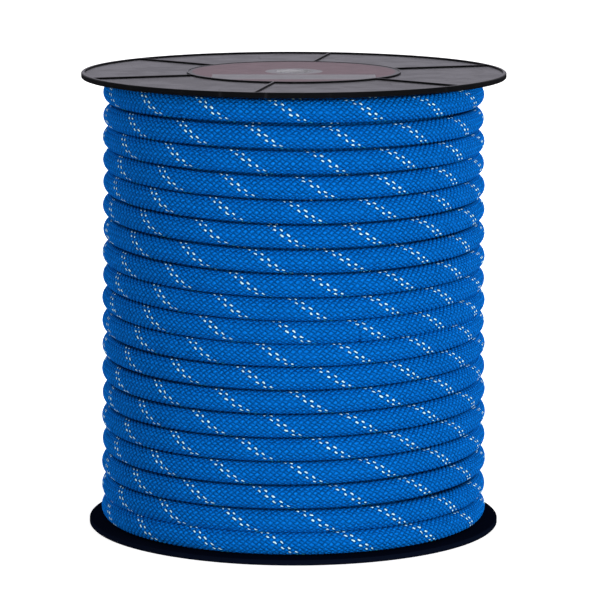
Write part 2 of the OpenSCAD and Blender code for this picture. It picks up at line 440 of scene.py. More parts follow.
class PaintBench(NodeBench):
    """A material's bench, which places the shared groups at the Object coordinates."""

    def __init__(self, material: bpy.types.Material, kit: ShaderKit) -> None:
        """Clears the material's nodes.

        Args:
            material: The material.
            kit: The shared groups.
        """
        super().__init__(emptied(material))
        self.kit, self.place = kit, self.add("TexCoord")["Object"]

    def grain(self, scale: float) -> Outputs:
        """Places the fine grain."""
        return self.add(self.kit.grain, {"Vector": self.place, "Scale": scale})

    def scuffs(self, scale: float, amount: float) -> Term:
        """Places the scuffs."""
        feeds = {"Vector": self.place, "Scale": scale, "Amount": amount}
        return self.add(self.kit.scuffs, feeds)[0]

    def dust(self, amount: float) -> Term:
        """Places the dust."""
        return self.add(self.kit.dust, {"Vector": self.place, "Amount": amount})[0]


# ---------------------------------------------------------------- finishes


@dataclass(frozen=True)
class Finish:
    """A material round one Principled shader; its sizes and colours are fields.

    Its roughness is rough, and up to rough_more higher from place to place.
    """

    name: str
    grain_scale: float
    rough: float
    rough_more: float

    def fill(self, b: PaintBench) -> dict[str, Feed]:
        """Adds the finish's own nodes.

        Args:
            b: The material's bench.

        Returns:
            What goes into the shader's sockets.
        """
        raise NotImplementedError

    def material(self, kit: ShaderKit) -> bpy.types.Material:
        """Makes the material.

        Args:
            kit: The shared groups.

        Returns:
            The material.
        """
        material = bpy.data.materials.new(self.name)
        b = PaintBench(material, kit)
        b.add("OutputMaterial", {"Surface": b.add("BsdfPrincipled", self.fill(b))[0]})
        return material


@dataclass(frozen=True)
class SheathFinish(Finish):
    """Dyed braided nylon with white marker yarns.

    Its marker shade rows and its crevice shade rows are row numbers between which a change takes
    place: the markers dim to a painted shade of teal near a turn's upper and lower edges, and the
    sheath darkens to painted shade in the crevice where turns press together.
    """

    name: str = "sheath_nylon"
    grain_scale: float = 1500.0
    rough: float = 0.78
    rough_more: float = 0.10
    specular: float = 0.04
    weave: Weave = Weave.MODELLED
    blue: Colour = (0.0006, 0.158, 0.660)
    pale: Colour = (0.0016, 0.200, 0.780)
    # deep is the navy of the painted shade in the gaps and the crevice, and of the fine lines
    # between filaments.
    deep: Colour = (0.0002, 0.018, 0.075)
    marker: Colour = (0.57, 0.85, 0.89)
    # tucked is the painted shade of the markers: a dim teal that they take on near a turn's upper
    # and lower edges, where shade falls.
    tucked: Colour = (0.030, 0.300, 0.420)
    # How dark the painted shade in the gaps between floats goes.
    gap_shade_depth: float = 0.82
    crevice_shade_depth: float = 0.80
    # Painted shade: how much darker the first set of yarns is drawn than the second.
    first_set_shade: float = 0.20
    upper_marker_shade: tuple[float, float] = (2.6, 4.2)
    lower_marker_shade: tuple[float, float] = (-4.6, -5.6)
    crevice_shade_rows: tuple[float, float] = (4.6, 6.2)
    float_share: float = 0.55
    cloud_share: float = 0.25
    thread_line: float = 0.22
    wander: float = 0.7
    wander_scale: float = 420.0
    filament_height: float = 0.05 * MM
    crown_height: float = 0.7 * MM

    def fill(self, b: PaintBench) -> dict[str, Feed]:
        """Draws the yarns and their markers, with painted shade in the gaps between them.

        Args:
            b: The material's bench.

        Returns:
            What goes into the shader's sockets.
        """
        if self.weave is Weave.MODELLED:
            spot = b.split(b.add("UVMap", uv_map=BRAID_MAP)[0])
            column, row = spot[0], spot[1]
        else:
            column, row = (b.add("Attribute", attribute_name=name)["Fac"]
                           for name in (COLUMN, ROW))
        wander = b.add("TexNoise", {"Vector": b.place, "Scale": self.wander_scale, "Detail": 1.0})
        aside = b.split(wander["Color"])
        cells = b.add(b.kit.braid, {"Column": (aside[0] - 0.5) * self.wander + column,
                                    "Row": (aside[1] - 0.5) * self.wander + row})
        tone = cells["Float tone"] * self.float_share + cells["Yarn tone"] * (1 - self.float_share)
        tone = b.grain(self.grain_scale)["Cloud"] * self.cloud_share + tone * (1 - self.cloud_share)
        dyed = b.blend(tone, self.blue, self.pale)
        dyed = b.blend(cells["Filament"] * -self.thread_line + self.thread_line, dyed, self.deep)
        # Painted shade: the first set of yarns is drawn darker for how it catches the light, and
        # the painted gap shade is laid over both sets.
        low = 1.0 - cells["First set"] * self.first_set_shade
        shade = 1.0 - (1.0 - cells["Gap"] * self.gap_shade_depth) * low
        # Painted shade on the markers: near the turn's edges they blend from their white to the
        # shaded teal.
        edge = b.math("MAXIMUM", b.ramp(row, *self.upper_marker_shade), b.ramp(row, *self.lower_marker_shade))
        coloured = b.blend(cells["Marker"], b.blend(shade, dyed, self.deep),
                           b.blend(edge, self.marker, self.tucked))
        # Painted shade: the sheath darkens towards deep in the crevice where neighbouring turns
        # press together.
        crevice_shade = b.ramp(abs(row), *self.crevice_shade_rows, 0.0, self.crevice_shade_depth)
        height = cells["Crown"] * self.crown_height + cells["Filament"] * self.filament_height
        return {"Base Color": b.blend(crevice_shade, coloured, self.deep),
                "Roughness": cells["Float tone"] * self.rough_more + self.rough,
                "Specular IOR Level": self.specular, "Normal": b.bump(height, 1.0)}


@dataclass(frozen=True)
class StrandFinish(Finish):
    """White twisted nylon of the rope's core."""

    name: str = "core_nylon"
    grain_scale: float = 2500.0
    rough: float = 0.6
    rough_more: float = 0.1
    specular: float = 0.25
    twist_scale: float = 900.0
    twist_share: float = 0.6
    relief: float = 0.1 * MM
    colour: Colour = (0.72, 0.70, 0.62)
    shade: Colour = (0.40, 0.39, 0.33)

    def fill(self, b: PaintBench) -> dict[str, Feed]:
        """Draws the strands' twist.

        Args:
            b: The material's bench.

        Returns:
            What goes into the shader's sockets.
        """
        wave = b.add("TexWave", {"Vector": b.place, "Scale": self.twist_scale,
                                 "Distortion": 1.5}, bands_direction="DIAGONAL")["Fac"]
        cloud = b.grain(self.grain_scale)["Cloud"]
        tone = wave * self.twist_share + cloud * (1 - self.twist_share)
        return {"Base Color": b.blend(tone, self.shade, self.colour),
                "Roughness": cloud * self.rough_more + self.rough,
                "Specular IOR Level": self.specular, "Normal": b.bump(wave, self.relief)}


@dataclass(frozen=True)
class FusedFinish(Finish):
    """Sheath that was melted where the rope was cut with a hot knife."""

    name: str = "fused_nylon"
    grain_scale: float = 1400.0
    rough: float = 0.25
    rough_more: float = 0.25
    relief: float = 0.25 * MM
    colour: Colour = (0.002, 0.060, 0.230)
    scorched: Colour = (0.030, 0.030, 0.035)

    def fill(self, b: PaintBench) -> dict[str, Feed]:
        """Draws the melted skin.

        Args:
            b: The material's bench.

        Returns:
            What goes into the shader's sockets.
        """
        grain = b.grain(self.grain_scale)
        return {"Base Color": b.blend(grain["Cloud"], self.colour, self.scorched),
                "Roughness": grain["Cloud"] * self.rough_more + self.rough,
                "Normal": b.bump(grain["Height"], self.relief)}


@dataclass(frozen=True)
class ReelPlasticFinish(Finish):
    """Black injection-moulded plastic, polished on the outer face and matt elsewhere.

    The outer face is what lies outer_reach from middle_z, and is level.
    """

    name: str = "reel_black"
    grain_scale: float = 1100.0
    rough: float = 0.75
    rough_more: float = 0.05
    polished: float = 0.16
    colour: Colour = (0.0035, 0.0036, 0.0045)
    worn: Colour = (0.030, 0.030, 0.034)
    dust: Colour = (0.20, 0.19, 0.18)
    specular: float = 0.5
    scuff_scale: float = 28.0
    scuff_rough: float = 0.12
    scuffing: float = 0.35
    dusting: float = 0.035
    middle_z: float = 107.8 * MM
    outer_reach: float = 105.0 * MM
    levels: tuple[float, float] = (0.5, 0.9)
    edge_radius: float = 0.3 * MM
    relief: float = 0.012 * MM
    relief_share: float = 0.6

    def fill(self, b: PaintBench) -> dict[str, Feed]:
        """Draws the polish, the scuffs and the dust.

        Args:
            b: The material's bench.

        Returns:
            What goes into the shader's sockets.
        """
        grain = b.grain(self.grain_scale)
        scuffs = b.scuffs(self.scuff_scale, self.scuffing)
        dust = b.dust(self.dusting)
        away = abs(b.split(b.place)[2] - self.middle_z)
        level = abs(b.split(b.add("NewGeometry")["True Normal"])[2])
        outer = b.math("GREATER_THAN", away, self.outer_reach) * b.ramp(level, *self.levels)
        rough = b.ramp(outer, 0.0, 1.0, self.rough, self.polished)
        soft = b.add("Bevel", {"Radius": self.edge_radius}, samples=4)[0]
        return {"Base Color": b.blend(dust, b.blend(scuffs, self.colour, self.worn), self.dust),
                "Roughness": scuffs * self.scuff_rough + (grain["Cloud"] * self.rough_more + rough),
                "Specular IOR Level": self.specular,
                "Normal": b.bump(grain["Height"], self.relief, self.relief_share, soft)}


@dataclass(frozen=True)
class BoardFinish(Finish):
    """Wound paper board of the barrel, with the seams of its spiral plies."""

    name: str = "barrel_kraft"
    grain_scale: float = 700.0
    rough: float = 0.82
    rough_more: float = 0.08
    relief: float = 0.15 * MM
    light: Colour = (0.42, 0.29, 0.17)
    dark: Colour = (0.27, 0.18, 0.10)
    ply_pitch: float = 60 * MM
    seam_from: float = 0.985

    def fill(self, b: PaintBench) -> dict[str, Feed]:
        """Draws the fibres and the seams.

        Args:
            b: The material's bench.

        Returns:
            What goes into the shader's sockets.
        """
        axes = b.split(b.place)
        climb = axes[2] / self.ply_pitch - b.math("ARCTAN2", axes[1], axes[0]) / math.tau
        seam = b.ramp(b.math("FRACT", climb), self.seam_from, 1.0)
        fibres = b.grain(self.grain_scale)
        return {"Base Color": b.blend(seam, b.blend(fibres["Height"], self.dark, self.light),
                                      self.dark),
                "Roughness": fibres["Cloud"] * self.rough_more + self.rough,
                "Normal": b.bump(fibres["Height"] - seam, self.relief)}


@dataclass(frozen=True)
class TubePlasticFinish(Finish):
    """Pale extruded plastic of the spindle tube, with faint lines along it."""

    name: str = "tube_pale"
    grain_scale: float = 800.0
    rough: float = 0.34
    rough_more: float = 0.2
    relief: float = 0.03 * MM
    colour: Colour = (0.57, 0.55, 0.60)
    shade: Colour = (0.46, 0.45, 0.485)
    line_scale: float = 1600.0
    line_stretch: float = 0.02

    def fill(self, b: PaintBench) -> dict[str, Feed]:
        """Draws the lines along the tube.

        Args:
            b: The material's bench.

        Returns:
            What goes into the shader's sockets.
        """
        drawn = b.add("Mapping", {"Vector": b.place, "Scale": (1.0, 1.0, self.line_stretch)})[0]
        lines = b.add("TexNoise", {"Vector": drawn, "Scale": self.line_scale, "Detail": 2.0})[0]
        cloud = b.grain(self.grain_scale)["Cloud"]
        return {"Base Color": b.blend(cloud, self.shade, self.colour),
                "Roughness": lines * self.rough_more + self.rough,
                "Normal": b.bump(lines, self.relief)}


@dataclass(frozen=True)
class BoltSteelFinish(Finish):
    """Zinc-plated steel with a cloudy plating."""

    name: str = "bolt_zinc"
    grain_scale: float = 2600.0
    rough: float = 0.30
    rough_more: float = 0.2
    relief: float = 0.02 * MM
    light: Colour = (0.66, 0.67, 0.70)
    dark: Colour = (0.42, 0.43, 0.46)
    scuff_scale: float = 160.0
    scuffing: float = 0.6

    def fill(self, b: PaintBench) -> dict[str, Feed]:
        """Draws the plating and its scuffs.

        Args:
            b: The material's bench.

        Returns:
            What goes into the shader's sockets.
        """
        grain = b.grain(self.grain_scale)
        scuffs = b.scuffs(self.scuff_scale, self.scuffing)
        return {"Base Color": b.blend(grain["Cloud"], self.dark, self.light), "Metallic": 1.0,
                "Roughness": scuffs * self.rough_more + self.rough,
                "Normal": b.bump(grain["Height"], self.relief)}


@dataclass(frozen=True)
class LabelFinish(Finish):
    """Printed paper: a dull red field, a pale panel with ruled lines, a grey border."""

    name: str = "label_paper"
    grain_scale: float = 1800.0
    rough: float = 0.18
    rough_more: float = 0.10
    relief: float = 0.02 * MM
    field_colour: Colour = (0.170, 0.014, 0.030)
    panel: Colour = (0.34, 0.33, 0.36)
    rule: Colour = (0.05, 0.05, 0.06)
    grey: Colour = (0.06, 0.06, 0.07)
    outer_r: float = 49.5 * MM
    border: float = 1.6 * MM
    panel_low: float = -38.0 * MM
    panel_high: float = -15.0 * MM
    panel_half: float = 38.0 * MM
    rule_step: float = 4.0 * MM
    rule_margin: float = 3.0 * MM
    rule_share: float = 0.045
    mottle: float = 0.12
    scuff_scale: float = 40.0
    scuffing: float = 0.06
    hole_ring: float = 13.5 * MM
    edge: float = 0.15 * MM

    def fill(self, b: PaintBench) -> dict[str, Feed]:
        """Draws the field, the ruled panel and the border.

        Args:
            b: The material's bench.

        Returns:
            What goes into the shader's sockets.
        """
        axes = b.split(b.place)
        far = b.math("SQRT", axes[0] * axes[0] + axes[1] * axes[1])
        side = abs(axes[0])

        def below(value: Term, limit: float) -> Term:
            """Is 1 where the value is under the limit."""
            return b.ramp(value, limit - self.edge, limit + self.edge, 1.0, 0.0)

        band = (below(axes[1], self.panel_high) * (1.0 - below(axes[1], self.panel_low))
                * below(side, self.panel_half))
        depth = (axes[1] - self.panel_low) / self.rule_step
        near_line = abs(b.math("FRACT", depth) - 0.5)
        ruled = below(near_line, self.rule_share) * below(side, self.panel_half - self.rule_margin)
        paper = b.blend(band, self.field_colour, b.blend(ruled, self.panel, self.rule))
        paper = b.blend(1.0 - below(far, self.outer_r - self.border), paper, self.grey)
        paper = b.blend(below(far, self.hole_ring), paper, self.panel)
        fibres = b.grain(self.grain_scale)
        paper = b.blend(fibres["Cloud"] * self.mottle, paper, self.grey)
        scuffs = b.scuffs(self.scuff_scale, self.scuffing)
        return {"Base Color": b.blend(scuffs, paper, self.panel),
                "Roughness": fibres["Height"] * self.rough_more + self.rough,
                "Normal": b.bump(fibres["Height"], self.relief)}


@dataclass(frozen=True)
class TapeFinish(Finish):
    """Pale strapping tape with glass threads in it."""

    name: str = "tape_threads"
    grain_scale: float = 500.0
    rough: float = 0.22
    rough_more: float = 0.15
    relief: float = 0.06 * MM
    film: Colour = (0.62, 0.61, 0.54)
    thread: Colour = (0.86, 0.86, 0.82)
    thread_pitch: float = 1.6 * MM
    thread_edge: tuple[float, float] = (0.10, 0.24)
    thread_share: float = 0.75
    cloud_share: float = 0.2
    tape_r: float = 92 * MM

    def fill(self, b: PaintBench) -> dict[str, Feed]:
        """Draws the film and its threads.

        Args:
            b: The material's bench.

        Returns:
            What goes into the shader's sockets.
        """
        axes = b.split(b.place)
        arc = b.math("ARCTAN2", axes[1], axes[0]) * self.tape_r
        phase = b.math("FRACT", arc / self.thread_pitch)
        thread = b.ramp(abs(phase - 0.5), *self.thread_edge, 1.0, 0.0)
        cloud = b.grain(self.grain_scale)["Cloud"]
        colour = b.blend(thread * self.thread_share, self.film, self.thread)
        return {"Base Color": b.blend(cloud * self.cloud_share, colour, self.thread),
                "Roughness": cloud * self.rough_more + self.rough, "Coat Weight": 0.4,
                "Normal": b.bump(thread, self.relief)}


# ---------------------------------------------------------------- camera and meshes


def linked(name: str, data: bpy.types.ID) -> bpy.types.Object:
    """Makes an object of a mesh, a camera or a lamp.

    Args:
        name: The object's name.
        data: What it shows.

    Returns:
        The object, linked to the scene.
    """
    made = bpy.data.objects.new(name, data)
    bpy.context.scene.collection.objects.link(made)
    return made


def standing(place: Sequence[float], *axes: np.ndarray) -> Matrix:
    """Gives the matrix that stands a thing at a place, with its own x, y and z along the axes."""
    turned = Matrix(np.stack(axes, axis=1).tolist()).to_4x4()
    return Matrix.Translation(tuple(place)) @ turned


@dataclass(frozen=True)
class Shot:
    """The camera: where it stands, how it is turned, and its lens."""

    distance: float = 1716 * MM
    height: float = 382.4 * MM
    tilt: float = math.radians(9.135)
    yaw: float = math.radians(0.102)
    roll: float = math.radians(-0.085)
    focal_px: float = 3657.0
    frame_px: float = 600.0
    sensor_mm: float = 36.0
    clip: tuple[float, float] = (0.05, 50.0)

    def build(self) -> bpy.types.Object:
        """Makes the camera and makes it the scene's.

        Returns:
            The camera's object.
        """
        ahead = np.array([math.sin(self.yaw) * math.cos(self.tilt),
                          math.cos(self.yaw) * math.cos(self.tilt), -math.sin(self.tilt)])
        right = np.array([math.cos(self.yaw), -math.sin(self.yaw), 0.0])
        down = np.cross(ahead, right)
        cos, sin = math.cos(self.roll), math.sin(self.roll)
        right, down = cos * right + sin * down, cos * down - sin * right
        data = bpy.data.cameras.new("shot")
        data.sensor_width = self.sensor_mm
        data.lens = self.focal_px * self.sensor_mm / self.frame_px
        data.clip_start, data.clip_end = self.clip
        camera = linked("shot", data)
        camera.matrix_world = standing((0.0, -self.distance, self.height), right, -down, -ahead)
        bpy.context.scene.camera = camera
        return camera


def triangle_mesh(name: str, places: np.ndarray, triangles: np.ndarray) -> bpy.types.Object:
    """Makes a smooth mesh object from arrays.

    Args:
        name: The object's name.
        places: One row of x, y, z for each vertex.
        triangles: One row of three vertex numbers for each triangle.

    Returns:
        The object.
    """
    mesh = bpy.data.meshes.new(name)
    mesh.vertices.add(len(places))
    mesh.vertices.foreach_set("co", places.astype(np.float32).ravel())
    mesh.loops.add(triangles.size)
    mesh.loops.foreach_set("vertex_index", triangles.astype(np.int32).ravel())
    mesh.polygons.add(len(triangles))
    mesh.polygons.foreach_set("loop_start", np.arange(0, triangles.size, 3, dtype=np.int32))
    mesh.update(calc_edges=True)
    mesh.validate()
    mesh.shade_smooth()
    return linked(name, mesh)


def line_piece(name: str, lines: Sequence[np.ndarray]) -> bpy.types.Object:
    """Makes an object of edges only, one chain for each line.

    Args:
        name: The object's name.
        lines: Points in rows of x, y, z.

    Returns:
        The object.
    """
    places, edges = [], []
    for line in lines:
        first = len(places)
        places += line.tolist()
        edges += [(first + i, first + i + 1) for i in range(len(line) - 1)]
    mesh = bpy.data.meshes.new(name)
    mesh.from_pydata(places, edges, [])
    return linked(name, mesh)


def settle(piece: bpy.types.Object) -> None:
    """Turns a piece into the plain mesh that its modifiers make.

    Args:
        piece: A mesh object.
    """
    graph = bpy.context.evaluated_depsgraph_get()
    made = bpy.data.meshes.new_from_object(piece.evaluated_get(graph), depsgraph=graph,
                                           preserve_all_data_layers=True)
    piece.modifiers.clear()
    piece.data = made


def outward(piece: bpy.types.Object) -> None:
    """Joins a closed mesh's doubled vertices and turns its faces outwards.

    Args:
        piece: A mesh object.
    """
    shape = bmesh.new()
    shape.from_mesh(piece.data)
    bmesh.ops.remove_doubles(shape, verts=shape.verts, dist=1e-7)
    bmesh.ops.recalc_face_normals(shape, faces=shape.faces)
    shape.to_mesh(piece.data)
    shape.free()
    piece.data.shade_smooth()


def dress(piece: bpy.types.Object, material: bpy.types.Material) -> None:
    """Gives a piece its material, and lets it ride on the body.

    Args:
        piece: A new mesh object.
        material: Its material.
    """
    piece.data.materials.clear()
    piece.data.materials.append(material)
    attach(piece, BODY)
    LOG.info("%s: %d faces", piece.name, len(piece.data.polygons))


class GeometryTree(NodeBench):
    """A geometry node tree with named inputs, and the modifier that runs it."""

    def __init__(self, name: str, sizes: dict[str, float]) -> None:
        """Makes the tree's interface.

        Args:
            name: The tree's name.
            sizes: Its number inputs with their values; a whole number makes a whole input.
        """
        super().__init__(bpy.data.node_groups.new(name, "GeometryNodeTree"))
        face = self.tree.interface
        face.new_socket("Geometry", in_out="INPUT", socket_type="NodeSocketGeometry")
        self.values: dict[str, float] = {}
        for label, value in sizes.items():
            kind = "NodeSocketInt" if isinstance(value, int) else "NodeSocketFloat"
            socket = face.new_socket(label, in_out="INPUT", socket_type=kind)
            self.values[socket.identifier] = value
        face.new_socket("Geometry", in_out="OUTPUT", socket_type="NodeSocketGeometry")
        self.entry = self.add("NodeGroupInput")

    def close(self, geometry: Term, material: bpy.types.Material) -> None:
        """Ends the tree in Realize Instances and Set Material.

        Args:
            geometry: What the tree makes.
            material: The material that it wears.
        """
        real = self.add("RealizeInstances", {0: geometry})[0]
        smooth = self.add("SetShadeSmooth", {"Geometry": real})[0]
        worn = self.add("SetMaterial", {"Geometry": smooth, "Material": material})[0]
        self.add("NodeGroupOutput", {0: worn})

    def run(self, piece: bpy.types.Object) -> bpy.types.Object:
        """Runs the tree on a piece and keeps the plain mesh that it makes.

        Args:
            piece: The object that the tree starts from.

        Returns:
            The same object with its new mesh and no modifier.
        """
        modifier = piece.modifiers.new(self.tree.name, "NODES")
        modifier.node_group = self.tree
        for code, value in self.values.items():
            modifier[code] = value
        settle(piece)
        return piece


# ---------------------------------------------------------------- rope


def ease(x: np.ndarray | float) -> np.ndarray:
    """Eases from 0 to 1 with level ends."""
    x = np.clip(x, 0.0, 1.0)
    return x * x * (3.0 - 2.0 * x)


def unit(v: np.ndarray) -> np.ndarray:
    """Scales each row to a length of 1."""
    return v / np.linalg.norm(v, axis=-1, keepdims=True)


def changing(turn: np.ndarray, first: float, changes: Triples) -> np.ndarray:
    """Follows a size that changes in eased steps down the reel.

    Args:
        turn: Turn numbers.
        first: The size where the rope starts.
        changes: The turn where each change begins, how many turns it takes, and its amount.

    Returns:
        The size at each turn.
    """
    return sum((by * ease((turn - low) / span) for low, span, by in changes), start=first)


@dataclass(frozen=True)
class RopeRoute:
    """Centre line of the outer layer: level turns that step down behind the reel.

    A place on it is a number of ring steps from the start, 24 to a turn. Settling,
    bowing and slanting list changes: the turn where each begins, how many turns it
    takes, and its amount. The sway lists an amount, a rate and a phase. These
    amounts are in millimetres.
    """

    rope_d: float = 10.5 * MM
    pitch: float = 11.0 * MM
    top_z: float = 206.25 * MM
    top_r: float = 84.25 * MM
    bottom_r: float = 86.25 * MM
    turns: int = 19
    rings: int = 24
    cross_rings: int = 6
    climb_rings: int = 2
    held_rings: int = 6
    start_angle: float = math.radians(145.0)
    last_ring: int = 449
    first_settled: float = 0.6
    settling: Triples = ((0.0, 1.0, 0.7), (1.0, 2.5, 0.9), (4.0, 3.0, 0.4), (7.2, 3.6, -1.5),
                         (11.0, 3.5, -0.4), (15.5, 1.5, 0.15), (17.0, 1.0, -0.75))
    bowing: Triples = ((0.0, 4.0, 2.8), (8.0, 8.0, -1.7))
    first_slant: float = -0.5
    slanting: Triples = ((0.0, 2.0, -0.35), (7.0, 7.0, 1.95))
    flat_turns: float = 2.5
    sway: Triples = ((0.16, 0.113, 1.0), (0.10, 0.291, 0.0))
    ripple: float = 0.05
    ripple_rate: float = 0.071
    probe: float = 0.02

    @property
    def ring_angle(self) -> float:
        """Angle between two ring steps."""
        return math.tau / self.rings

    def stepped(self, t: np.ndarray) -> np.ndarray:
        """Counts the turns down to places t, with the steps between turns as fractions."""
        into = np.mod(t, self.rings) - (self.rings - self.cross_rings)
        return np.floor(t / self.rings) + ease(into / self.cross_rings)

    def turn_z(self, turn: np.ndarray) -> np.ndarray:
        """Height of a turn's centre line; the turns have settled unevenly down the reel."""
        settled = changing(turn, self.first_settled, self.settling)
        return self.top_z - self.pitch * turn - settled * MM

    def lift(self, turn: np.ndarray, angle: np.ndarray) -> np.ndarray:
        """Gives how far a turn rises at the reel's sides, where it isn't quite level.

        Args:
            turn: The turn's number, with the steps between turns as fractions.
            angle: The bearing round the reel.

        Returns:
            The rise; the last turn lies flat on the flange.
        """
        free = ease((self.turns - 1 - turn) / self.flat_turns)
        bow = changing(turn, 0.0, self.bowing)
        slant = changing(turn, self.first_slant, self.slanting)
        across = np.cos(angle)
        return free * MM * (bow * across ** 2 + slant * across)

    def on_turns(self, t: np.ndarray) -> np.ndarray:
        """Finds points of the turns.

        Args:
            t: Places from 0 to last_ring.

        Returns:
            Their points; the turns sway a little, but not near the ends.
        """
        stepped = self.stepped(t)
        r = (self.top_r + (self.bottom_r - self.top_r) * stepped / (self.turns - 1)
             - self.pitch * (1.0 - ease(t / self.climb_rings)))
        loose = (t > self.held_rings) & (t < self.last_ring - self.held_rings)
        r = r + loose * MM * sum(by * np.sin(t * rate + phase) for by, rate, phase in self.sway)
        angle = self.start_angle + t * self.ring_angle
        z = (self.turn_z(stepped) + self.lift(stepped, angle)
             + loose * self.ripple * MM * np.sin(t * self.ripple_rate))
        return np.stack([r * np.cos(angle), r * np.sin(angle), z], axis=-1)

    def centre(self, t: np.ndarray) -> np.ndarray:
        """Finds points of the centre line.

        Args:
            t: Places, which run straight on past both ends.

        Returns:
            Their points.
        """
        held = np.clip(t, 0.0, float(self.last_ring))
        angle = self.start_angle + held * self.ring_angle
        level = np.stack([-np.sin(angle), np.cos(angle), 0.0 * angle], axis=-1)
        past = (t - held)[..., None] * self.bottom_r * self.ring_angle
        return self.on_turns(held) + past * level

    def overhang(self) -> float:
        """Ring steps that the straight piece at an end takes."""
        return self.rope_d / (self.bottom_r * self.ring_angle)

    def frames(self, t: np.ndarray) -> tuple[np.ndarray, np.ndarray, np.ndarray, np.ndarray]:
        """Finds how the rope lies.

        Args:
            t: Places.

        Returns:
            Centre, direction, side and outward direction at each.
        """
        centre = self.centre(t)
        along = unit(self.centre(t + self.probe) - self.centre(t - self.probe))
        side = unit(np.cross(along, centre * np.array([1.0, 1.0, 0.0])))
        return centre, along, side, np.cross(side, along)

    def stations(self, each: float) -> np.ndarray:
        """Lists places from end to end.

        Args:
            each: Ring steps between two places.

        Returns:
            The places, with both ends.
        """
        over = self.overhang()
        turns = np.linspace(0.0, self.last_ring, int(self.last_ring / each) + 1)
        return np.concatenate([[-over], turns, [self.last_ring + over]])


@dataclass(frozen=True)
class Braid:
    """The sheath's pattern: its yarns, their steps along the rope, and its markers.

    Down the reel each turn's markers stand further to the left, by drift, by
    late_drift from the turn late_from on, and by a sway that dies out.
    """

    yarns: int = 13
    markers_apart: int = 12
    markers_a_turn: int = 15
    marker_spacing: float = 34.2 * MM
    marker_front: float = math.radians(269.0)
    front_from: float = math.radians(175.0)
    front_to: float = math.radians(365.0)
    twist: float = 0.67
    drift: float = 0.0858
    late_drift: float = 0.0054
    late_from: float = 8.6
    sway: float = 0.05
    sway_rate: float = 0.99
    sway_turns: float = 6.0
    sampling: float = 1.0 / 16.0
    fade: float = 6.0

    @property
    def repeat(self) -> int:
        """Columns after which markers and yarns both repeat."""
        return 2 * math.lcm(self.markers_apart, self.yarns)

    @property
    def half_step(self) -> float:
        """Half of the distance between crossings along one row."""
        return self.marker_spacing / self.markers_apart / 2.0

    @property
    def rows(self) -> int:
        """Rows of crossings round the rope."""
        return 2 * self.yarns

    def front_places(self, route: RopeRoute) -> np.ndarray:
        """Finds where a marker pair crosses the reel's front.

        Args:
            route: The rope's centre line.

        Returns:
            The places, one on each turn.
        """
        turn = np.arange(route.turns)
        late = np.clip(turn - self.late_from, 0.0, None)
        drift = (self.drift * turn + self.late_drift * late ** 2
                 + self.sway * np.sin(self.sway_rate * turn) * np.exp(-turn / self.sway_turns))
        bearing = self.marker_front - drift - route.start_angle
        return route.rings * turn + bearing / route.ring_angle

    def columns(self, route: RopeRoute) -> tuple[np.ndarray, np.ndarray]:
        """Lays the pattern along the rope.

        Over the front it keeps its true length. Behind the reel it shrinks or
        stretches by a few per cent, so that each turn's markers fall in place.

        Args:
            route: The rope's centre line.

        Returns:
            Places along the route, and the column number at each.
        """
        t = route.stations(self.sampling)
        step = np.linalg.norm(np.diff(route.centre(t), axis=0), axis=1)
        middle = (t[1:] + t[:-1]) / 2
        angle = np.mod(route.start_angle + middle * route.ring_angle, math.tau)
        hidden_span = math.tau - (self.front_to - self.front_from)
        into = np.mod(angle - self.front_to, math.tau) / hidden_span
        hidden = np.where(into < 1.0, ease(into * self.fade) * ease((1.0 - into) * self.fade), 0.0)
        length = np.concatenate([[0.0], np.cumsum(step)])
        fronts = self.front_places(route)
        wanted = self.markers_a_turn * self.marker_spacing
        for low, high in zip(fronts, fronts[1:]):
            here = hidden * step * ((middle > low) & (middle < high))
            true = np.interp(high, t, length) - np.interp(low, t, length)
            step = step + here * (wanted - true) / here.sum()
        run = np.concatenate([[0.0], np.cumsum(step)])
        return t, 1.0 + (run - np.interp(fronts[0], t, run)) / self.half_step


